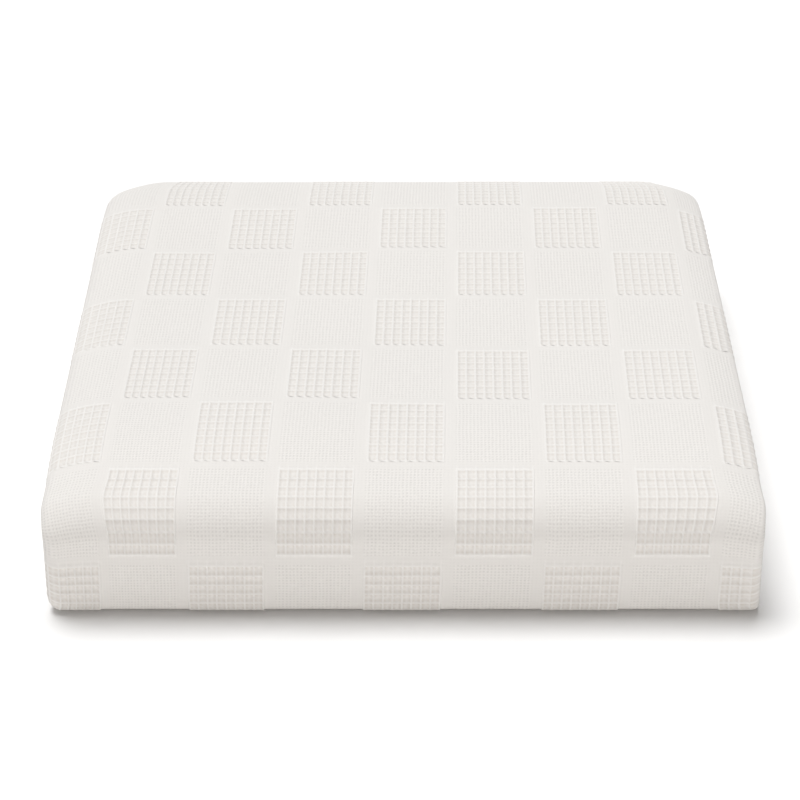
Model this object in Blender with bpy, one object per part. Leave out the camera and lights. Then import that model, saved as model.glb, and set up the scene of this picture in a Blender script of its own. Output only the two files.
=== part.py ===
"""A check-woven cotton bedspread, folded into a flat pack.

The bedspread is one sheet of cloth. It is folded lengthwise first: both side edges go to the middle,
and the doubled cloth is folded in half, which leaves a strip of four plies. The strip is then folded
crosswise in thirds and once in half, with one smooth run round the outside: over the foot, up the
front and across the top.

The mesh starts as the flat sheet, a grid with the cloth's thickness. Each column of the grid has a
place in the section of the strip, and each row a place on the strip's way through the pack. Folding
carries every point of the sheet to where its column and its row meet.
"""

from collections import namedtuple

import bmesh
import bpy
import numpy as np

# The folded pack
PACK_WIDTH = 0.4065
PACK_DEPTH = 0.440

# The cloth, and the air that stays between its plies and between the folded strips
CLOTH_THICKNESS = 0.0029
PLY_GAP = 0.00043
STRIP_GAP = 0.0005
STRIP_THICKNESS = 4 * CLOTH_THICKNESS + 3 * PLY_GAP
STRIP_PITCH = STRIP_THICKNESS + STRIP_GAP

# One row for each strip of the pack, in the order in which the cloth runs through it from its lower
# hem. Each has its level in the stack, and how far its sides and its back end stay inside the pack
Strip = namedtuple("Strip", "level left_inset right_inset back_inset")
STRIPS = (
    Strip(level=0, left_inset=0.0018, right_inset=0.0012, back_inset=0.0160),
    Strip(level=5, left_inset=0.0000, right_inset=0.0010, back_inset=0.0000),
    Strip(level=4, left_inset=0.0018, right_inset=0.0016, back_inset=0.0000),
    Strip(level=1, left_inset=0.0022, right_inset=0.0022, back_inset=0.0018),
    Strip(level=2, left_inset=0.0030, right_inset=0.0014, back_inset=0.0018),
    Strip(level=3, left_inset=0.0024, right_inset=0.0020, back_inset=0.0195),
)
PACK_HEIGHT = len(STRIPS) * STRIP_PITCH - STRIP_GAP

# The front turns: the brow is the upper edge of the front, and the foot is the lower one. Further in
# they tighten to the least radius, or to this share of the room that is left in the middle
BROW_RADIUS = 0.014
FOOT_RADIUS = 0.011
LEAST_RADIUS = 0.003
ROOM_SHARE = 0.7

# The selvedges lie inside the wide side fold, this far from its inner face
SELVEDGE_CLEARANCE = 0.003

# The settled pack: its top sinks towards its front, its back and its two sides
END_DROP = 0.015
END_REACH = 0.085
SIDE_DROP = 0.0075
SIDE_REACH = 0.034
# Its corners are rounded in plan, and the cloth flares where the brow meets the sides
BACK_CORNER = 0.021
BACK_CORNER_LENGTH = 0.050
FRONT_CORNER = 0.005
FRONT_CORNER_LENGTH = 0.008
CORNER_REACH = 0.090
FLARE = 0.0034
FLARE_DEPTH = 0.014
FLARE_HEIGHT = 0.074
FLARE_REACH = 0.012

# Where the points of the straight runs lie, from the pack's centre line and from its front
ACROSS_STATIONS = (-0.184, -0.163, 0.163, 0.184)
ALONG_STATIONS = (0.045, 0.085, 0.355, 0.396, 0.415)

# Steps of the side folds and of the back turns, and of each front turn's foot, wall and brow
WIDE_FOLD_STEPS = 6
NARROW_FOLD_STEPS = 4
BACK_TURN_STEPS = 6
OUTER_FRONT_STEPS = (4, 2, 5)
INNER_FRONT_STEPS = (3, 1, 3)

CLOTH_COLOUR = (0.86, 0.84, 0.81, 1.0)
CLOTH_ROUGHNESS = 0.92
SHARP_ANGLE = 50


def arc(centre, radius, start, end, steps):
    """Points of an arc with its two ends, for angles in degrees."""
    angles = np.radians(np.linspace(start, end, steps + 1))
    return np.asarray(centre) + radius * np.stack([np.cos(angles), np.sin(angles)], axis=1)


def level_run(places, level):
    """Points of a straight run at one level."""
    return np.stack([np.asarray(places), np.full(len(places), level)], axis=1)


def strip_section(inset):
    """Section of the four-ply strip, as (x, depth in the strip).

    The inset is 0 on the cloth's face and the cloth's thickness on its reverse. The line runs from
    one selvedge round a narrow fold, along the outer ply, round the wide fold, along the inner ply
    and round the other narrow fold to the other selvedge.
    """
    middle = STRIP_THICKNESS / 2
    wide_centre = (-PACK_WIDTH / 2 + middle, middle)
    narrow_radius = CLOTH_THICKNESS + PLY_GAP / 2
    narrow_x = PACK_WIDTH / 2 - narrow_radius
    inner_level = STRIP_THICKNESS - narrow_radius
    selvedge = -PACK_WIDTH / 2 + CLOTH_THICKNESS + SELVEDGE_CLEARANCE
    rightward = list(ACROSS_STATIONS)
    leftward = rightward[::-1]
    turn = narrow_radius - inset

    return np.concatenate(
        [
            level_run([selvedge] + rightward, narrow_radius + turn),
            arc((narrow_x, narrow_radius), turn, 90, -90, NARROW_FOLD_STEPS),
            level_run(leftward, inset),
            arc(wide_centre, middle - inset, 270, 90, WIDE_FOLD_STEPS),
            level_run(rightward, STRIP_THICKNESS - inset),
            arc((narrow_x, inner_level), turn, 90, -90, NARROW_FOLD_STEPS),
            level_run(leftward + [selvedge], inner_level - turn),
        ]
    )


def front_turn(depth, steps):
    """A front turn at one depth in the pack, from the foot up to the brow, as (y, z)."""
    foot_steps, wall_steps, brow_steps = steps
    room = ROOM_SHARE * (PACK_HEIGHT / 2 - depth)
    foot = min(max(FOOT_RADIUS - depth, LEAST_RADIUS), room)
    brow = min(max(BROW_RADIUS - depth, LEAST_RADIUS), room)
    foot_centre = (depth + foot, depth + foot)
    brow_centre = (depth + brow, PACK_HEIGHT - depth - brow)
    wall = np.linspace(foot_centre[1], brow_centre[1], wall_steps + 1)[1:-1]
    return np.concatenate(
        [
            arc(foot_centre, foot, 270, 180, foot_steps),
            np.stack([np.full(len(wall), depth), wall], axis=1),
            arc(brow_centre, brow, 180, 90, brow_steps),
        ]
    )


def back_turn(level, next_level, back_inset):
    """A back turn from one level to the next, as (y, z)."""
    centre = PACK_DEPTH - back_inset - STRIP_THICKNESS - STRIP_GAP / 2, (level + next_level) / 2
    start = 90 if level > next_level else -90
    return arc(centre, abs(next_level - level) / 2, start, -start, BACK_TURN_STEPS)


def strip_route(inset):
    """The strip's way through the pack: its (y, z), and which strip of the table each place is on.

    The inset is 0 on the strip's outer face and its whole thickness on its inner face. That outer
    face lies downwards on the first strip, upwards on the next, and so on. A turn's places count up
    from the strip before it to the one after it.
    """
    last = len(STRIPS) - 1
    levels = [
        strip.level * STRIP_PITCH + (STRIP_THICKNESS - inset if number % 2 else inset)
        for number, strip in enumerate(STRIPS)
    ]
    points, numbers = [], []
    for number, (strip, level) in enumerate(zip(STRIPS, levels)):
        places = list(ALONG_STATIONS) if number % 2 else list(ALONG_STATIONS[::-1])
        hem = PACK_DEPTH - strip.back_inset
        if number == 0:
            places = [hem] + places
        if number == last:
            places = places + [hem]
        points.append(level_run(places, level))
        numbers.append(np.full(len(places), number))
        if number == last:
            break

        following = levels[number + 1]
        if number % 2:
            turn = back_turn(level, following, strip.back_inset)
        else:
            steps = INNER_FRONT_STEPS if number else OUTER_FRONT_STEPS
            turn = front_turn(min(level, following), steps)
            turn = turn if level < following else turn[::-1]
        points.append(turn)
        numbers.append(np.linspace(number, number + 1, len(turn)))
    return np.concatenate(points), np.concatenate(numbers)


def drawn_in(x, numbers):
    """Moves places across the strip inwards by the side insets of their strip."""
    order = np.arange(len(STRIPS))
    left = np.interp(numbers, order, [strip.left_inset for strip in STRIPS])
    right = np.interp(numbers, order, [strip.right_inset for strip in STRIPS])
    return x * (1 - np.where(x < 0, left, right) / (PACK_WIDTH / 2))


def settled(x, y, z):
    """Carries points of the square-cut stack to the soft shape of the pack."""
    side = np.clip(1 - (PACK_WIDTH / 2 - np.abs(x)) / SIDE_REACH, 0, None)
    front = np.clip(1 - y / END_REACH, 0, None)
    back = np.clip(1 - (PACK_DEPTH - y) / END_REACH, 0, None)
    drop = SIDE_DROP * side**2 + END_DROP * (front**2 + back**2)
    low = z * (1 - drop / PACK_HEIGHT)

    to_back = np.clip(1 - (PACK_DEPTH - y) / BACK_CORNER_LENGTH, 0, 1)
    to_front = np.clip(1 - y / FRONT_CORNER_LENGTH, 0, 1)
    corner = BACK_CORNER * to_back**3 + FRONT_CORNER * to_front**3
    near_side = np.clip(1 - (PACK_WIDTH / 2 - np.abs(x)) / CORNER_REACH, 0, 1)
    ease = near_side**2 * (3 - 2 * near_side)
    offset = (y - FLARE_DEPTH) ** 2 + (low - FLARE_HEIGHT) ** 2
    flare = FLARE * np.exp(-offset / FLARE_REACH**2)
    return x + np.sign(x) * ease * (flare - corner), y, low


def folded_places(column, row, side):
    """Where each point of the sheet lies in the pack, from its column, its row and its side."""
    section = np.stack([strip_section(0), strip_section(CLOTH_THICKNESS)])
    outer_route, numbers = strip_route(0)
    inner_route, _ = strip_route(STRIP_THICKNESS)
    x, depth = section[side, column].T
    share = depth[:, None] / STRIP_THICKNESS
    y, z = (outer_route[row] * (1 - share) + inner_route[row] * share).T
    return np.stack(settled(drawn_in(x, numbers[row]), y, z), axis=1)


def flat_sheet(columns, rows):
    """The flat sheet as a closed slab of the cloth's thickness, with its points on whole steps."""
    sheet = bmesh.new()
    across, along = columns - 1, rows - 1
    bmesh.ops.create_grid(sheet, x_segments=across, y_segments=along, size=0.5)
    bmesh.ops.translate(sheet, verts=sheet.verts[:], vec=(0.5, 0.5, 0))
    bmesh.ops.scale(sheet, verts=sheet.verts[:], vec=(across, along, 1))
    slab = bmesh.ops.extrude_face_region(sheet, geom=sheet.faces[:], use_keep_orig=True)
    reverse = [item for item in slab["geom"] if isinstance(item, bmesh.types.BMVert)]
    bmesh.ops.translate(sheet, verts=reverse, vec=(0, 0, -CLOTH_THICKNESS))
    return sheet


def fold(sheet):
    """Folds the flat sheet into the pack, with the middle of its base at the origin."""
    steps = np.array([vert.co for vert in sheet.verts])
    column, row = np.rint(steps[:, :2]).astype(int).T
    side = (steps[:, 2] < -CLOTH_THICKNESS / 2).astype(int)
    places = folded_places(column, row, side)
    low, high = places.min(axis=0), places.max(axis=0)
    places -= ((low[0] + high[0]) / 2, (low[1] + high[1]) / 2, low[2])
    for vert, place in zip(sheet.verts, places):
        vert.co = place
    if sheet.calc_volume(signed=True) < 0:
        bmesh.ops.reverse_faces(sheet, faces=sheet.faces[:])


def cloth_material():
    material = bpy.data.materials.new("check_woven_cotton")
    material.use_nodes = True
    shader = material.node_tree.nodes["Principled BSDF"]
    shader.inputs["Base Color"].default_value = CLOTH_COLOUR
    shader.inputs["Roughness"].default_value = CLOTH_ROUGHNESS
    shader.inputs["Metallic"].default_value = 0.0
    return material


def folded_bedspread():
    sheet = flat_sheet(len(strip_section(0)), len(strip_route(0)[0]))
    bmesh.ops.recalc_face_normals(sheet, faces=sheet.faces[:])
    fold(sheet)
    mesh = bpy.data.meshes.new("bedspread")
    sheet.to_mesh(mesh)
    sheet.free()
    mesh.shade_smooth()
    mesh.set_sharp_from_angle(angle=np.radians(SHARP_ANGLE))
    mesh.materials.append(cloth_material())
    return bpy.data.objects.new("bedspread", mesh)


def main():
    for old in list(bpy.data.objects):
        bpy.data.objects.remove(old)
    collection = bpy.data.collections.new("folded_bedspread")
    bpy.context.scene.collection.children.link(collection)
    collection.objects.link(folded_bedspread())


main()
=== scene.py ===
import bpy
import bmesh
import math
import numpy as np
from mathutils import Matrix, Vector


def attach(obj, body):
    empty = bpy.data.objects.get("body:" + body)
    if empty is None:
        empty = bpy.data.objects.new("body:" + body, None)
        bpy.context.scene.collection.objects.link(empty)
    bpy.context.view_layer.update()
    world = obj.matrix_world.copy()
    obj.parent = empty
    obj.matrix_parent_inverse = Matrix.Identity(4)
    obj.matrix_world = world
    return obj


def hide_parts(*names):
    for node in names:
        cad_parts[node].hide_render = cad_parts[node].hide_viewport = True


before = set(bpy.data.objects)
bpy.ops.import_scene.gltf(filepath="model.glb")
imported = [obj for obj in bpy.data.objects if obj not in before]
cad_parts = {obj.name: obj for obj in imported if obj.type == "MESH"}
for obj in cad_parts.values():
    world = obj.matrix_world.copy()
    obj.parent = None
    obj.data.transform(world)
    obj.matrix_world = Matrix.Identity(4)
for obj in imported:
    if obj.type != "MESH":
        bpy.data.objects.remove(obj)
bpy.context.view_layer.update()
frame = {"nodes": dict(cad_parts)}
print("frame loaded:", ", ".join(frame["nodes"]))

# The folded pack, in metres: the folds of its solid, with a rounder brow and a tighter foot
pack = {
    "width": 0.4065,
    "depth": 0.440,
    "cloth": 0.0029,  # the cloth's thickness
    "plies": 4,  # in each strip
    "plyGap": 0.00043,  # air between the plies
    "stripGap": 0.0005,  # and between the strips
    "levels": (0, 5, 4, 1, 2, 3),  # of the six strips, in the order of the cloth
    "leftInset": (0.0018, 0.0, 0.0018, 0.0022, 0.0030, 0.0024),  # how far each stays inside the pack
    "rightInset": (0.0012, 0.0010, 0.0016, 0.0022, 0.0014, 0.0020),
    "backInset": (0.0160, 0.0, 0.0, 0.0018, 0.0018, 0.0195),
    "browRadius": 0.018,  # the upper front edge
    "footRadius": 0.0095,  # the lower front edge
    "leastRadius": 0.003,  # of both edges further in
    "roomShare": 0.7,  # of the room left in the middle, the most that they take
    "selvedgeClearance": 0.003,
    "arcSteps": 24,
}
pack["strip"] = pack["plies"] * pack["cloth"] + (pack["plies"] - 1) * pack["plyGap"]
pack["pitch"] = pack["strip"] + pack["stripGap"]
pack["height"] = len(pack["levels"]) * pack["pitch"] - pack["stripGap"]

# How the pack settles and softens at its ends, sides and corners
settle = {
    "endDrop": 0.015,  # how far the top sinks at its front and its back
    "endReach": 0.085,  # and from how far inside
    "sideDrop": 0.0075,  # and at its sides
    "sideReach": 0.034,
    "backCorner": 0.021,  # how far the corners draw in, seen from above
    "backCornerLength": 0.050,  # length of that along the sides, and cornerReach across the pack
    "frontCorner": 0.0025,
    "frontCornerLength": 0.008,
    "cornerReach": 0.090,
    "flare": 0.0034,  # how far the cloth stands out where the brow meets the sides
    "flareDepth": 0.014,
    "flareHeight": 0.074,
    "flareReach": 0.012,
}

# The weave: squares of waffle cells and plain squares by turns
weave = {
    "across": 0.050,  # pitch of the squares across the cloth
    "along": 0.06534,  # and along it
    "cells": 8,  # waffle cells each way in a square
    "cellAcross": 0.0053,
    "firstAcross": 0.0016,  # the middle of a square's first rib
    "middle": 4.385,  # squares from the first column to the pack's middle
    "lean": -0.026,  # and its change with each row towards the back
    "leanRow": 5,  # the row that doesn't lean
    "leanFade": 8,  # power by which the lean is lost towards the sides
    "drawnFrom": (-0.25, -0.177, -0.150, -0.120, -0.020, 0.080, 0.130, 0.25),  # places across the pack
    "drawnBy": (0.0080, 0.0050, 0.0018, 0.0004, -0.0004, 0.0014, 0.0018, 0.0010),  # moved to the right
    "easedFrom": (1.833, 1.944, 2.056, 2.167, 2.278, 2.389, 2.5, 2.611, 2.722, 2.833),  # ribs at the brow
    "easedBy": (0, 0.018, 0.046, 0.066, 0.084, 0.073, 0.046, 0.023, 0.018, 0),  # moved up, in squares
    "rearLine": 0.0607,  # line between the two rear rows, before the end of the top
    "rearRow": 8,  # squares along the cloth up to that line
    "ribFoot": 0.16,  # half a rib's width, in cells
    "proud": 0.00064,  # how far the ribs stand out of the cloth
    "hollow": 0.00045,  # how far a cell's middle lies below it
    "crossRib": 0.80,  # height of the cross ribs, as a share of the long ribs'
    "tail": 0.75,  # how far the long ribs run on outside a square, in cells
    "bow": 0.10,  # how far the cross ribs' crests bow to the front between the long ribs, in cells
    "tilt": 0.06,  # how far the long ribs' crests lie to the right, in cells
    "leanStart": (-0.006, 0.004),  # where bow and tilt begin, from the end of the brow
    "edgeFade": 0.75,  # share of the relief that is lost round the pack's side folds
    "edgeStart": (-0.003, 0.005),  # where it is lost, from the end of the flat top
    "cornerSpread": 0.25,  # how far the painted shade of a cell's corners runs along its sides
    "cornerShade": 0.55,  # how dark that painted shade is on the top
    "cornerFront": 0.15,  # what the front adds to that
    "browLength": 0.030,  # way up to the end of the brow in which the front becomes the top
}
weave["cellAlong"] = weave["along"] / 9
weave["firstAlong"] = 0.5 * weave["cellAlong"]

# The mesh: its lines follow the ribs in a window on the outer ply, and few run on outside it
grid = {
    "reach": 0.24,  # half the width that the ribs are set out over
    "plyShares": (0.04, 0.10, 0.22, 0.5, 0.78, 0.90, 0.96),  # lines on a straight ply
    "foldSteps": (3, 3, 4),  # arc steps from line to line round each side fold
    "turnSteps": (6, 4, 6, 4, 8),  # and round each front and back turn
    "everyAcross": 6,  # one fine line in so many runs on outside the window
    "everyAlong": 2,
    "leastStep": 0.0006,  # a fine line nearer than this to another line is left out
    "margin": 0.13,  # from the outer ribs' feet to the lines that keep the bands flat, in cells
    "pastTurn": 0.004,  # how far the finer part runs on past a turn
    "cuts": 3,  # in each edge of the finer part
    "tolerance": 1e-6,
    "cellTolerance": 1e-4,
}


def arc(centre, radius, start, end, steps):
    angles = np.radians(np.linspace(start, end, steps + 1))
    return np.asarray(centre) + radius * np.stack([np.cos(angles), np.sin(angles)], axis=1)


def levelRun(places, level):
    return np.stack([np.asarray(places), np.full(len(places), level)], axis=1)


# Section of the four-ply strip as (x, depth), from one selvedge to the other
def stripSection(inset):
    cloth, strip, half = pack["cloth"], pack["strip"], pack["width"] / 2
    steps = pack["arcSteps"]
    middle = strip / 2
    narrow = cloth + pack["plyGap"] / 2
    narrowX = half - narrow
    wideX = -half + middle
    inner = strip - narrow
    selvedge = -half + cloth + pack["selvedgeClearance"]
    turn = narrow - inset
    return np.concatenate([
        levelRun([selvedge], narrow + turn),
        arc((narrowX, narrow), turn, 90, -90, steps),
        arc((wideX, middle), middle - inset, 270, 90, steps),
        arc((narrowX, inner), turn, 90, -90, steps),
        levelRun([selvedge], inner - turn),
    ])


def frontTurn(depth):
    room = pack["roomShare"] * (pack["height"] / 2 - depth)
    foot = min(max(pack["footRadius"] - depth, pack["leastRadius"]), room)
    brow = min(max(pack["browRadius"] - depth, pack["leastRadius"]), room)
    return np.concatenate([
        arc((depth + foot, depth + foot), foot, 270, 180, pack["arcSteps"]),
        arc((depth + brow, pack["height"] - depth - brow), brow, 180, 90, pack["arcSteps"]),
    ])


def backTurn(level, following, inset):
    centre = (pack["depth"] - inset - pack["strip"] - pack["stripGap"] / 2, (level + following) / 2)
    start = 90 if level > following else -90
    return arc(centre, abs(following - level) / 2, start, -start, 2 * pack["arcSteps"])


# The strip's way through the pack as (y, z), y from the front, and its count of strips so far
def stripRoute(inset):
    strip, levels = pack["strip"], pack["levels"]
    heights = [
        level * pack["pitch"] + (strip - inset if number % 2 else inset)
        for number, level in enumerate(levels)
    ]
    points = [levelRun([pack["depth"] - pack["backInset"][0]], heights[0])]
    counts = [np.zeros(1)]
    for number in range(len(levels) - 1):
        here, there = heights[number], heights[number + 1]
        if number % 2:
            turn = backTurn(here, there, pack["backInset"][number])
        else:
            turn = frontTurn(min(here, there))
            turn = turn if here < there else turn[::-1]
        points.append(turn)
        counts.append(np.linspace(number, number + 1, len(turn)))
    points.append(levelRun([pack["depth"] - pack["backInset"][-1]], heights[-1]))
    counts.append(np.full(1, len(levels) - 1))
    return np.concatenate(points), np.concatenate(counts)


def lengthAlong(points):
    steps = np.linalg.norm(np.diff(points, axis=0), axis=1)
    return np.concatenate([[0.0], np.cumsum(steps)])


sectionFace, sectionBack = stripSection(0), stripSection(pack["cloth"])
routeOuter, routeCount = stripRoute(0)
routeInner, _ = stripRoute(pack["strip"])
acrossLength = lengthAlong((sectionFace + sectionBack) / 2)
outerShare = pack["cloth"] / pack["strip"] / 2
alongLength = lengthAlong(routeOuter * (1 - outerShare) + routeInner * outerShare)
clothWidth, clothLength = acrossLength[-1], alongLength[-1]
print(f"flat cloth {clothWidth:.3f} by {clothLength:.3f} m")


def between(value, places, points):
    return np.stack([np.interp(value, places, points[:, k]) for k in range(points.shape[1])], axis=1)


# Carries points of the flat cloth, with n counted down from its face, into the pack
def foldCloth(u, v, n):
    t = (n / pack["cloth"])[:, None]
    section = between(u, acrossLength, sectionFace) * (1 - t) + between(u, acrossLength, sectionBack) * t
    x, depth = section.T
    share = (depth / pack["strip"])[:, None]
    y, z = (between(v, alongLength, routeOuter) * (1 - share)
            + between(v, alongLength, routeInner) * share).T
    count = np.interp(v, alongLength, routeCount)
    order = np.arange(len(pack["levels"]))
    left = np.interp(count, order, pack["leftInset"])
    right = np.interp(count, order, pack["rightInset"])
    x = x * (1 - np.where(x < 0, left, right) / (pack["width"] / 2))
    return settlePack(x, y, z)


def settlePack(x, y, z):
    half, depth, height = pack["width"] / 2, pack["depth"], pack["height"]
    side = np.clip(1 - (half - np.abs(x)) / settle["sideReach"], 0, None)
    front = np.clip(1 - y / settle["endReach"], 0, None)
    back = np.clip(1 - (depth - y) / settle["endReach"], 0, None)
    drop = settle["sideDrop"] * side**2 * z / height + settle["endDrop"] * (front**2 + back**2)
    low = z * (1 - drop / height)
    toBack = np.clip(1 - (depth - y) / settle["backCornerLength"], 0, 1)
    toFront = np.clip(1 - y / settle["frontCornerLength"], 0, 1)
    corner = settle["backCorner"] * toBack**3 + settle["frontCorner"] * toFront**3
    near = np.clip(1 - (half - np.abs(x)) / settle["cornerReach"], 0, 1)
    ease = near**2 * (3 - 2 * near)
    offset = (y - settle["flareDepth"])**2 + (low - settle["flareHeight"])**2
    flare = settle["flare"] * np.exp(-offset / settle["flareReach"]**2)
    return np.stack([x + np.sign(x) * ease * (flare - corner), y - depth / 2, low], axis=1)


# Places in the flat cloth that the mesh and the weave are set out from
fold = pack["arcSteps"]
acrossFolds = [acrossLength[1 + k * (fold + 1):1 + (k + 1) * (fold + 1)] for k in range(3)]
turnSizes = [2 * fold + 2, 2 * fold + 1, 2 * fold + 2, 2 * fold + 1, 2 * fold + 2]
turnStarts = 1 + np.cumsum([0] + turnSizes[:-1])
alongTurns = [alongLength[start:start + size] for start, size in zip(turnStarts, turnSizes)]
flatAcross = (acrossFolds[0][-1], acrossFolds[1][0])
windowAcross = (acrossFolds[0][fold // 2], acrossFolds[1][fold // 2])
windowAlong = (alongTurns[0][0] - grid["pastTurn"], alongTurns[1][-1])
narrowX = pack["width"] / 2 - pack["cloth"] - pack["plyGap"] / 2
middleAcross = flatAcross[0] + narrowX
originAcross = -weave["middle"] * weave["across"]
originAlong = alongTurns[1][0] - weave["rearLine"] - weave["rearRow"] * weave["along"]
drawnFrom = np.array(weave["drawnFrom"])
drawnTo = drawnFrom + np.array(weave["drawnBy"])


# The weave's own place across for a place across the pack, x
def weaveAcross(x):
    return x - np.interp(x, drawnTo, weave["drawnBy"])


# Round the brow the ribs lie a little further up, in squares along the cloth
easedFrom = np.array(weave["easedFrom"])
easedTo = easedFrom + np.array(weave["easedBy"])


# Mesh lines that follow the ribs of each square, between two places
def ribPlaces(low, high, pitch, cell, first, origin):
    foot, cells, margin = weave["ribFoot"], weave["cells"], grid["margin"]
    offsets = list(range(cells + 1)) + [cells + foot, cells + foot + margin]
    offsets += [pitch / cell - foot - margin, pitch / cell - foot]
    squares = np.arange(math.floor((low - origin) / pitch) - 1, math.ceil((high - origin) / pitch) + 1)
    places = origin + first + (squares[:, None] * pitch + np.array(offsets)[None] * cell).ravel()
    return places[(places > low) & (places < high)]


def spread(start, end, shares):
    return [start + (end - start) * share for share in shares]


# Every line of the mesh, and whether it runs on outside the window that shows the relief
def meshLines(coarse, fine, window, flat, every):
    low, high = window
    coarse = np.array(sorted(set(coarse)))
    coarse = coarse[(coarse <= flat[0] + grid["tolerance"]) | (coarse >= flat[1] - grid["tolerance"])]
    fine = np.sort(fine[(fine > low) & (fine < high)])
    fine = fine[np.abs(fine[:, None] - coarse).min(axis=1) > grid["leastStep"]]
    kept = np.arange(len(fine)) % every == every // 2
    places = np.concatenate([coarse, fine])
    runsOn = np.concatenate([np.ones(len(coarse), bool), kept])
    order = np.argsort(places)
    return places[order], runsOn[order]


fineX = ribPlaces(-grid["reach"], grid["reach"], weave["across"], weave["cellAcross"],
                  weave["firstAcross"], originAcross)
fineX = fineX + np.interp(fineX, drawnFrom, weave["drawnBy"])
coarseAcross = [0.0, clothWidth, *windowAcross]
coarseAcross += [place for line, step in zip(acrossFolds, grid["foldSteps"]) for place in line[::step]]
for start, end in ((0, acrossFolds[0][0]), (acrossFolds[1][-1], acrossFolds[2][0]),
                   (acrossFolds[2][-1], clothWidth)):
    coarseAcross += spread(start, end, grid["plyShares"])
uLines, uRunsOn = meshLines(coarseAcross, middleAcross - fineX, windowAcross, flatAcross,
                            grid["everyAcross"])

fineV = ribPlaces(windowAlong[0], windowAlong[1], weave["along"], weave["cellAlong"],
                  weave["firstAlong"], originAlong)
fineCount = (fineV - originAlong) / weave["along"]
fineV = fineV + weave["along"] * np.interp(fineCount, easedFrom, weave["easedBy"])
coarseAlong = [0.0, clothLength, *windowAlong]
coarseAlong += [place for line, step in zip(alongTurns, grid["turnSteps"]) for place in line[::step]]
ends = [0.0] + [place for line in alongTurns for place in (line[0], line[-1])] + [clothLength]
for start, end in zip(ends[::2], ends[1::2]):
    coarseAlong += spread(start, end, grid["plyShares"])
vLines, vRunsOn = meshLines(coarseAlong, fineV, windowAlong, windowAlong, grid["everyAlong"])
print(f"mesh lines: {len(uLines)} across, {len(vLines)} along")


def within(value, limits):
    return (value >= limits[0] - grid["tolerance"]) & (value <= limits[1] + grid["tolerance"])


# The flat cloth as a closed slab: fine faces in the window, long ones outside it
def flatCloth():
    bm = bmesh.new()
    corners = {}

    def corner(i, j, side):
        key = (i, j, side)
        if key not in corners:
            corners[key] = bm.verts.new((uLines[i], vLines[j], side * pack["cloth"]))
        return corners[key]

    uIn = np.flatnonzero(within(uLines, windowAcross))
    vIn = np.flatnonzero(within(vLines, windowAlong))
    uLow, uHigh, vLow, vHigh = uIn[0], uIn[-1], vIn[0], vIn[-1]
    uLong, vLong = np.flatnonzero(uRunsOn), np.flatnonzero(vRunsOn)

    for i in range(uLow, uHigh):
        for j in range(vLow, vHigh):
            ring = ((i, j), (i + 1, j), (i + 1, j + 1), (i, j + 1))
            bm.faces.new([corner(*place, 0) for place in ring])
    for i0, i1 in zip(uLong[:-1], uLong[1:]):
        for j0, j1 in zip(vLong[:-1], vLong[1:]):
            back = [corner(i0, j0, 1), corner(i0, j1, 1), corner(i1, j1, 1), corner(i1, j0, 1)]
            bm.faces.new(back)
            across, along = uLow <= i0 < uHigh, vLow <= j0 < vHigh
            if across and along:
                continue
            rows = {i0: [j0, j1], i1: [j0, j1]}
            columns = {j0: [i0, i1], j1: [i0, i1]}
            for edge in {i0, i1} & {uLow, uHigh}:
                if along:
                    rows[edge] = list(range(j0, j1 + 1))
            for edge in {j0, j1} & {vLow, vHigh}:
                if across:
                    columns[edge] = list(range(i0, i1 + 1))
            ring = [(i, j0) for i in columns[j0][:-1]] + [(i1, j) for j in rows[i1][:-1]]
            ring += [(i, j1) for i in columns[j1][:0:-1]] + [(i0, j) for j in rows[i0][:0:-1]]
            bm.faces.new([corner(i, j, 0) for i, j in ring])
    rim = [(i, 0) for i in uLong[:-1]] + [(uLong[-1], j) for j in vLong[:-1]]
    rim += [(i, vLong[-1]) for i in uLong[:0:-1]] + [(0, j) for j in vLong[:0:-1]]
    for (i0, j0), (i1, j1) in zip(rim, rim[1:] + rim[:1]):
        bm.faces.new([corner(i0, j0, 1), corner(i1, j1, 1), corner(i1, j1, 0), corner(i0, j0, 0)])
    return bm


def squareCount(u, v):
    across = (weaveAcross(middleAcross - u) - originAcross) / weave["across"]
    along = (v - originAlong) / weave["along"]
    return across, along - np.interp(along, easedTo, weave["easedBy"])


# Cells counted from a square's first rib
def cellCount(count, pitch, cell, first):
    square = np.floor(count - (first - weave["ribFoot"] * cell) / pitch)
    return square, ((count - square) * pitch - first) / cell


def cellsAt(u, v):
    across, along = squareCount(u, v)
    column, cellU = cellCount(across, weave["across"], weave["cellAcross"], weave["firstAcross"])
    row, cellV = cellCount(along, weave["along"], weave["cellAlong"], weave["firstAlong"])
    return column, cellU, row, cellV


def ramp(value, low, high):
    share = np.clip((value - low) / (high - low), 0, 1)
    return share * share * (3 - 2 * share)
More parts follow.
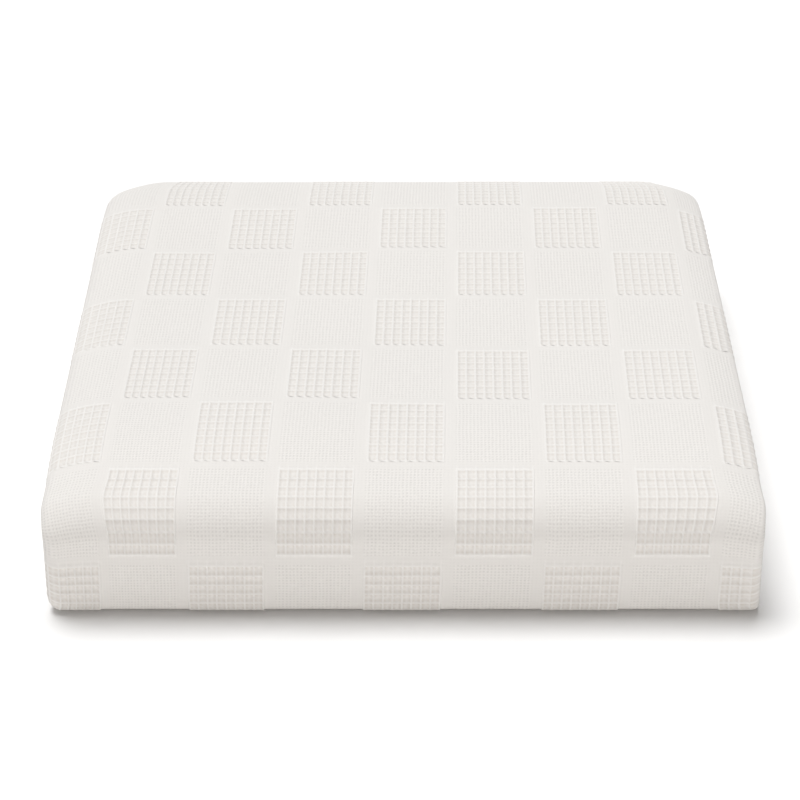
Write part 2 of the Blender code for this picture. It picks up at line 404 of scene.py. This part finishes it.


# How far a place stands out of the cloth, and its painted light and shade: 0 for painted shade in a cell's
# corners, 1 for a painted highlight on a rib
def reliefAt(u, v):
    column, cellU, row, cellV = cellsAt(u, v)
    foot, cells = weave["ribFoot"], weave["cells"]
    waffle = (column + row) % 2 == 1

    def ribAndExtent(cell):
        distance = np.abs(cell - np.clip(np.round(cell), 0, cells))
        outside = np.maximum(-cell, cell - cells)
        inner = 1 - np.abs(distance - foot) / np.where(distance < foot, foot, 0.5 - foot)
        return 1 - ramp(distance, 0, foot), 1 - ramp(outside, 0, foot), np.clip(inner, 0, 1), distance / 0.5

    ribU, extentU, innerU, bowlU = ribAndExtent(cellU)
    ribV, extentV, innerV, bowlV = ribAndExtent(cellV)
    ribs = np.maximum(ribU * extentV, weave["crossRib"] * ribV * extentU)
    extent = extentU * extentV
    deep = extent * np.clip(np.minimum(bowlU, bowlV), 0, 1)
    corner = extent * np.clip(innerU * innerV + weave["cornerSpread"] * np.maximum(innerU, innerV), 0, 1)
    upright = 1 - ramp(v, alongTurns[0][-1] - weave["browLength"], alongTurns[0][-1])
    # Painted highlight on the ribs and painted shade in the cells' corners, darker on the front
    light = 0.5 + 0.5 * ribs - 0.5 * corner * (weave["cornerShade"] + weave["cornerFront"] * upright)
    raised = weave["proud"] * ribs - weave["hollow"] * deep
    return np.where(waffle, raised, 0), np.where(waffle, light, 0.5)


bm = flatCloth()
bm.verts.ensure_lookup_table()
print(f"flat slab: {len(bm.faces)} faces")
turnLimits = [  # foot, brow and upper back turn
    (alongTurns[0][0] - grid["pastTurn"], alongTurns[0][fold]),
    (alongTurns[0][fold + 1], alongTurns[0][-1] + grid["pastTurn"]),
    (alongTurns[1][0] - grid["pastTurn"], alongTurns[1][-1]),
]
middles = np.array([face.calc_center_median() for face in bm.faces])
column, cellU, row, cellV = cellsAt(middles[:, 0], middles[:, 1])
onFace = middles[:, 2] < grid["tolerance"]
inWindow = within(middles[:, 0], windowAcross) & within(middles[:, 1], windowAlong) & onFace
inSquare = (cellU > 0) & (cellU < weave["cells"]) & (cellV > 0) & (cellV < weave["cells"])
onTurn = np.any([within(middles[:, 1], limits) for limits in turnLimits], axis=0)
chosen = inWindow & ((inSquare & ((column + row) % 2 == 1)) | onTurn)
edges = {edge for face, take in zip(bm.faces, chosen) if take for edge in face.edges}
bmesh.ops.subdivide_edges(bm, edges=list(edges), cuts=grid["cuts"], use_grid_fill=True)
mesh = bpy.data.meshes.new("bedspread_cloth")
bm.to_mesh(mesh)
bm.free()
print(f"cells divided: {len(mesh.vertices)} points")

flat = np.empty(len(mesh.vertices) * 3, dtype=np.float32)
mesh.vertices.foreach_get("co", flat)
u, v, n = flat.astype(float).reshape(-1, 3).T


# Moves the lines inside each cell to the feet of its ribs
def onRibFeet(cell):
    foot = weave["ribFoot"]
    base = np.floor(cell + grid["cellTolerance"])
    moved = np.interp(cell - base, (0, 0.25, 0.5, 0.75, 1), (0, foot, 0.5, 1 - foot, 1))
    return np.where((base >= 0) & (base < weave["cells"]), base + moved, cell)


def offEnds(value, limits):
    return np.abs(value[:, None] - limits).min(axis=1) > grid["tolerance"]


shown = within(u, windowAcross) & within(v, windowAlong) & (n < grid["tolerance"])
offSides, offRows = shown & offEnds(u, windowAcross), shown & offEnds(v, windowAlong)
column, cellU, row, cellV = cellsAt(u, v)
u = u - np.where(offSides, (onRibFeet(cellU) - cellU) * weave["cellAcross"], 0)
v = v + np.where(offRows, (onRibFeet(cellV) - cellV) * weave["cellAlong"], 0)


# 1 on the crest of a rib, 0 at its feet
def crest(cell):
    distance = np.abs(cell - np.clip(np.round(cell), 0, weave["cells"]))
    return 1 - ramp(distance, 0, weave["ribFoot"])


raised, paintedShading = reliefAt(u, v)
pastSide = np.maximum(flatAcross[0] - u, u - flatAcross[1])
raised = raised * (1 - weave["edgeFade"] * ramp(pastSide, *weave["edgeStart"]))
raised, paintedShading = np.where(offSides & offRows, raised, 0), np.where(shown, paintedShading, 0.5)

# On the top, the ribs' crests lean to the front and to the right
cells = (-weave["ribFoot"], weave["cells"] + weave["ribFoot"])
inWaffle = shown & ((column + row) % 2 == 1) & within(cellU, cells) & within(cellV, cells)
onTop = np.where(inWaffle, ramp(v - alongTurns[0][-1], *weave["leanStart"]), 0)
bow = onTop * weave["bow"] * weave["cellAlong"] * crest(cellV) * np.sin(np.pi * (cellU % 1))**2
tilt = onTop * weave["tilt"] * weave["cellAcross"] * crest(cellU)

# The weave leans a little to the right towards the back, but not at the sides
x = middleAcross - u
across, along = squareCount(u, v)
lean = -weave["across"] * weave["lean"] * (along - weave["leanRow"])
reach = np.where(x > 0, middleAcross - windowAcross[0], windowAcross[1] - middleAcross)
fade = 1 - (x / reach)**weave["leanFade"]
slide = np.where(shown, lean * fade, 0)
places = foldCloth(u - slide - tilt, v - bow, n - raised)

# Soft lumps and hollows of the lying pack: place, reach and lift
unevenness = (
    (-0.090, -0.120, 0.070, 0.060, 0.0012),
    (0.080, -0.060, 0.080, 0.070, -0.0008),
    (0.020, 0.090, 0.090, 0.060, 0.0008),
    (-0.110, 0.120, 0.060, 0.070, -0.0006),
    (0.130, 0.140, 0.050, 0.060, 0.0007),
)
lift = sum(
    height * np.exp(-((places[:, 0] - cx) / rx)**2 - ((places[:, 1] - cy) / ry)**2)
    for cx, cy, rx, ry, height in unevenness
)
places[:, 2] *= 1 + lift / pack["height"]
mesh.vertices.foreach_set("co", places.astype(np.float32).ravel())

cloth = bpy.data.objects.new("bedspread_cloth", mesh)
bpy.context.scene.collection.objects.link(cloth)
bpy.ops.object.select_all(action="DESELECT")
bpy.context.view_layer.objects.active = cloth
cloth.select_set(True)
bpy.ops.object.mode_set(mode="EDIT")
bpy.ops.mesh.select_all(action="SELECT")
bpy.ops.mesh.normals_make_consistent(inside=False)
bpy.ops.object.mode_set(mode="OBJECT")
bpy.ops.object.shade_smooth()

corners = np.empty(len(mesh.loops), dtype=np.int32)
mesh.loops.foreach_get("vertex_index", corners)
layer = mesh.uv_layers.new(name="weave")
layer.data.foreach_set("uv", np.stack([across, along], axis=1)[corners].astype(np.float32).ravel())
for name, values in (("paintedShading", paintedShading), ("modelled", shown.astype(float))):
    attribute = mesh.attributes.new(name, "FLOAT", "POINT")
    attribute.data.foreach_set("value", values.astype(np.float32))
triangles = sum(len(face.vertices) - 2 for face in mesh.polygons)
print(f"cloth: {len(mesh.vertices)} points, {triangles} triangles")

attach(cloth, "root")
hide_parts("bedspread")

# The cotton: colours, threads of the plain squares, and what is drawn on the folds without relief
cotton = {
    "face": (0.775, 0.758, 0.735, 1),
    # painted highlight on the ribs' crests
    "rib": (0.855, 0.842, 0.822, 1),
    "corner": (0.66, 0.615, 0.565, 1),  # painted shade in the corners of the waffle cells
    "roughness": 0.92,
    "sheen": 0.12,
    "sheenRoughness": 0.45,
    "specular": 0.15,
    "shade": 0.985,
    "cords": 24,  # cords across a plain square, and threads along it
    "threads": 30,
    "wander": 2.4,  # how far the cords stray, in radians, and half of what the threads do
    "unevenScale": 110.0,
    "cordHeight": 0.7,
    "threadHeight": 0.6,
    "fineBump": (0.8, 0.00009),  # strength and distance
    "openPlain": 0.8,  # how open the weave is on the plain squares, beyond that of the bands
    "openBand": 0.2,
    "gapShade": 0.14,  # how dark the painted shade in the gaps between cords and threads is
    "meanGap": 0.25,
    "slubScale": 420.0,
    "slubRoughness": 0.6,
    "slubBump": (0.35, 0.0004),
    "broadScale": 9.0,
    "broadShade": 0.03,
    "farHollow": 0.45,  # depth of the drawn cells, as a share of their ribs' height
    "farShade": 0.3,  # how much painted light the drawn ribs get, and painted shade their drawn hollows
    "farBump": (1.0, 0.0009),
    "tailShade": 0.3,  # how much painted light the ribs' ends outside their square get
    "hem": 0.016,  # width of the hem at the cloth's two cut ends
    "hemEdge": 0.0004,
    "hemHeight": 0.6,
    "stitchLine": 0.0135,  # from the cut end
    "stitchLength": 0.0032,
    "stitchWidth": (0.0006, 0.0002),
    "stitchGap": -0.6,
    "stitchDepth": 0.8,
    "stitchShade": 0.10,
}


class Nodes:
    def __init__(self, tree):
        self.tree = tree

    def add(self, kind, inputs=None, **settings):
        node = self.tree.nodes.new(kind)
        for key, value in settings.items():
            setattr(node, key, value)
        for key, value in (inputs or {}).items():
            if isinstance(value, bpy.types.NodeSocket):
                self.tree.links.new(value, node.inputs[key])
            else:
                node.inputs[key].default_value = value
        return node

    def math(self, operation, first, second=0.0, third=0.0):
        return self.add("ShaderNodeMath", {0: first, 1: second, 2: third}, operation=operation).outputs[0]

    def noise(self, place, scale, **inputs):
        return self.add("ShaderNodeTexNoise", {"Vector": place, "Scale": scale, **inputs}).outputs

    def bump(self, height, strengthAndDistance, normal=None):
        strength, distance = strengthAndDistance
        inputs = {"Height": height, "Strength": strength, "Distance": distance}
        if normal:
            inputs["Normal"] = normal
        return self.add("ShaderNodeBump", inputs).outputs[0]

    def ramp(self, value, low, high):
        node = self.add("ShaderNodeMapRange", {"Value": value, "From Min": low, "From Max": high},
                        interpolation_type="SMOOTHSTEP")
        return node.outputs[0]


def clothMaterial():
    material = bpy.data.materials.new("waffle_cotton")
    material.use_nodes = True
    tree = material.node_tree
    tree.nodes.clear()
    nodes = Nodes(tree)
    place = nodes.add("ShaderNodeUVMap", uv_map="weave").outputs[0]
    split = nodes.add("ShaderNodeSeparateXYZ", {0: place})
    squaresU, squaresV = split.outputs[0], split.outputs[1]
    paintedShading = nodes.add("ShaderNodeAttribute", attribute_name="paintedShading").outputs["Fac"]
    modelled = nodes.add("ShaderNodeAttribute", attribute_name="modelled").outputs["Fac"]
    noiseAt = nodes.add("ShaderNodeTexCoord").outputs["Object"]

    # Ribs of the waffle squares, for the folds that carry no relief
    def ribs(count, pitch, cell, first):
        shifted = nodes.math("SUBTRACT", count, (first - weave["ribFoot"] * cell) / pitch)
        square = nodes.math("FLOOR", shifted)
        inSquare = nodes.math("SUBTRACT", shifted, square)
        cells = nodes.math("SUBTRACT", nodes.math("MULTIPLY", inSquare, pitch / cell), weave["ribFoot"])
        nearest = nodes.math("MINIMUM", nodes.math("ROUND", cells), float(weave["cells"]))
        distance = nodes.math("ABSOLUTE", nodes.math("SUBTRACT", cells, nearest))
        rib = nodes.ramp(distance, weave["ribFoot"], 0.0)
        outside = nodes.math("SUBTRACT", cells, float(weave["cells"]))
        outside = nodes.math("MAXIMUM", nodes.math("MULTIPLY", cells, -1.0), outside)
        extent = nodes.ramp(outside, weave["ribFoot"], 0.0)
        return square, rib, extent, nodes.ramp(outside, weave["tail"], 0.0)

    column, ribU, extentU, _ = ribs(squaresU, weave["across"], weave["cellAcross"], weave["firstAcross"])
    row, ribV, extentV, tailV = ribs(squaresV, weave["along"], weave["cellAlong"], weave["firstAlong"])
    parity = nodes.math("FLOORED_MODULO", nodes.math("ADD", column, row), 2.0)
    extent = nodes.math("MULTIPLY", nodes.math("MULTIPLY", extentU, extentV), parity)
    ribAny = nodes.math("MAXIMUM", ribU, nodes.math("MULTIPLY", ribV, weave["crossRib"]))
    hollows = nodes.math("MULTIPLY", extent, cotton["farHollow"])
    drawn = nodes.math("SUBTRACT", nodes.math("MULTIPLY", ribAny, extent), hollows)
    farRelief = nodes.math("MULTIPLY", drawn, nodes.math("SUBTRACT", 1.0, modelled))
    tails = nodes.math("MULTIPLY", nodes.math("MULTIPLY", ribU, parity),
                       nodes.math("MULTIPLY", tailV, nodes.math("SUBTRACT", 1.0, extentV)))
    # Painted light on the drawn ribs and their ends, painted shade in the drawn hollows
    paintedShading = nodes.math("MULTIPLY_ADD", farRelief, cotton["farShade"], paintedShading)
    paintedShading = nodes.math("MULTIPLY_ADD", tails, cotton["tailShade"], paintedShading)

    # Cords along the plain squares and threads across them, with small gaps between that get painted shade
    plain = nodes.math("MULTIPLY", extentU, extentV)
    plain = nodes.math("MULTIPLY", plain, nodes.math("SUBTRACT", 1.0, parity))
    openness = nodes.math("MULTIPLY_ADD", plain, cotton["openPlain"], cotton["openBand"])
    slub = nodes.noise(noiseAt, cotton["slubScale"], Detail=3.0, Roughness=cotton["slubRoughness"])["Fac"]
    broad = nodes.noise(noiseAt, cotton["broadScale"], Detail=2.0)["Fac"]
    uneven = nodes.noise(noiseAt, cotton["unevenScale"], Detail=2.0)["Color"]
    uneven = nodes.add("ShaderNodeSeparateXYZ", {0: uneven}).outputs
    cordTurns = nodes.math("MULTIPLY", squaresU, 2 * math.pi * cotton["cords"])
    threadTurns = nodes.math("MULTIPLY", squaresV, 2 * math.pi * cotton["threads"])
    cords = nodes.math("SINE", nodes.math("MULTIPLY_ADD", uneven[0], cotton["wander"], cordTurns))
    threads = nodes.math("SINE", nodes.math("MULTIPLY_ADD", uneven[1], 2 * cotton["wander"], threadTurns))
    weaveHeight = nodes.math("ADD", nodes.math("MULTIPLY", cords, cotton["cordHeight"]),
                             nodes.math("MULTIPLY", threads, cotton["threadHeight"]))
    fineHeight = nodes.math("MULTIPLY", weaveHeight, openness)
    gaps = nodes.math("MULTIPLY", nodes.math("MULTIPLY_ADD", cords, -0.5, 0.5),
                      nodes.math("MULTIPLY_ADD", threads, -0.5, 0.5))
    gaps = nodes.math("MULTIPLY", gaps, nodes.math("MULTIPLY", slub, 2.0))
    gaps = nodes.math("SUBTRACT", gaps, cotton["meanGap"])
    gaps = nodes.math("MULTIPLY_ADD", gaps, openness, cotton["meanGap"])

    # Hem at the two cut ends, with its row of stitches
    fromStart = nodes.math("MULTIPLY_ADD", squaresV, weave["along"], originAlong)
    fromEnd = nodes.math("MINIMUM", fromStart, nodes.math("SUBTRACT", float(clothLength), fromStart))
    hem = nodes.ramp(fromEnd, cotton["hem"] + cotton["hemEdge"], cotton["hem"] - cotton["hemEdge"])
    fromLine = nodes.math("ABSOLUTE", nodes.math("SUBTRACT", fromEnd, cotton["stitchLine"]))
    line = nodes.ramp(fromLine, *cotton["stitchWidth"])
    turns = nodes.math("MULTIPLY", squaresU, 2 * math.pi * weave["across"] / cotton["stitchLength"])
    along = nodes.ramp(nodes.math("SINE", turns), cotton["stitchGap"], 0.0)
    stitch = nodes.math("MULTIPLY", line, along)
    farRelief = nodes.math("MULTIPLY", farRelief, nodes.math("SUBTRACT", 1.0, hem))
    farRelief = nodes.math("ADD", farRelief, nodes.math("MULTIPLY", hem, cotton["hemHeight"]))
    farRelief = nodes.math("SUBTRACT", farRelief, nodes.math("MULTIPLY", stitch, cotton["stitchDepth"]))

    normal = nodes.bump(farRelief, cotton["farBump"])
    normal = nodes.bump(fineHeight, cotton["fineBump"], normal)
    normal = nodes.bump(slub, cotton["slubBump"], normal)

    # Colour with painted shade in the cells' corners and a painted highlight on the ribs
    paintedShadingRamp = nodes.add("ShaderNodeValToRGB", {"Fac": paintedShading})
    stops = paintedShadingRamp.color_ramp.elements
    stops[0].color, stops[1].color = cotton["corner"], cotton["rib"]
    stops.new(0.5).color = cotton["face"]
    shade = nodes.math("MULTIPLY_ADD", broad, cotton["broadShade"], cotton["shade"])
    shade = nodes.math("SUBTRACT", shade, nodes.math("MULTIPLY", gaps, cotton["gapShade"]))
    shade = nodes.math("SUBTRACT", shade, nodes.math("MULTIPLY", stitch, cotton["stitchShade"]))
    # Colour times painted shade in the gaps, random broad tone and darker stitches
    toneAndPaintedShading = nodes.add("ShaderNodeMix", {"Factor": 1.0, "A": paintedShadingRamp.outputs[0]},
                       data_type="RGBA", blend_type="MULTIPLY")
    grey = nodes.add("ShaderNodeCombineColor", {0: shade, 1: shade, 2: shade})
    tree.links.new(grey.outputs[0], toneAndPaintedShading.inputs["B"])

    shader = nodes.add("ShaderNodeBsdfPrincipled", {
        "Base Color": toneAndPaintedShading.outputs["Result"], "Roughness": cotton["roughness"],
        "Sheen Weight": cotton["sheen"], "Sheen Roughness": cotton["sheenRoughness"],
        "Specular IOR Level": cotton["specular"], "Normal": normal,
    })
    nodes.add("ShaderNodeOutputMaterial", {"Surface": shader.outputs[0]})
    return material


mesh.materials.append(clothMaterial())
print("cloth material made")

# Floor, light and camera
studio = {
    "floorSize": 12,
    "floorPlace": (0, 2.0, -0.0002),
    "floorColour": (0.93, 0.93, 0.93, 1),
    "skyColour": (1.0, 0.975, 0.95, 1),
    "skyStrength": 0.24,
    "overhead": {"towards": (0.16, -0.30, -1.0), "strength": 2.95, "spread": 36, "colour": (1.0, 1.0, 1.0)},
    "front": {"towards": (-0.05, 1.0, -0.05), "strength": 1.42, "spread": 20, "colour": (1.0, 0.95, 0.905)},
}
bpy.ops.object.select_all(action="DESELECT")
bpy.ops.mesh.primitive_plane_add(size=studio["floorSize"], location=studio["floorPlace"])
floor = bpy.context.object
floor.name = "floor"
paper = bpy.data.materials.new("floor_paper")
paper.use_nodes = True
paperShader = paper.node_tree.nodes["Principled BSDF"]
paperShader.inputs["Base Color"].default_value = studio["floorColour"]
paperShader.inputs["Roughness"].default_value = 1.0
paperShader.inputs["Specular IOR Level"].default_value = 0.0
floor.data.materials.append(paper)


def softLight(name, towards, strength, spread, colour):
    light = bpy.data.lights.new(name, "SUN")
    light.energy = strength
    light.angle = math.radians(spread)
    light.color = colour
    lamp = bpy.data.objects.new(name, light)
    lamp.rotation_euler = Vector(towards).to_track_quat("-Z", "Y").to_euler()
    bpy.context.scene.collection.objects.link(lamp)


for name in ("overhead", "front"):
    softLight(name, **studio[name])

world = bpy.data.worlds.new("studio")
world.use_nodes = True
sky = world.node_tree.nodes["Background"]
sky.inputs["Color"].default_value = studio["skyColour"]
sky.inputs["Strength"].default_value = studio["skyStrength"]
bpy.context.scene.world = world

view = {
    "place": (-0.002, -1.4512, 0.8518),
    "tilt": 60.0,
    "lens": 118.35,
}
lens = bpy.data.cameras.new("camera")
lens.sensor_width = 36
lens.lens = view["lens"]
camera = bpy.data.objects.new("camera", lens)
camera.location = view["place"]
camera.rotation_euler = (math.radians(view["tilt"]), 0, 0)
bpy.context.scene.collection.objects.link(camera)
bpy.context.scene.camera = camera
bpy.context.scene.view_settings.view_transform = "Standard"
print("floor, light and camera placed")
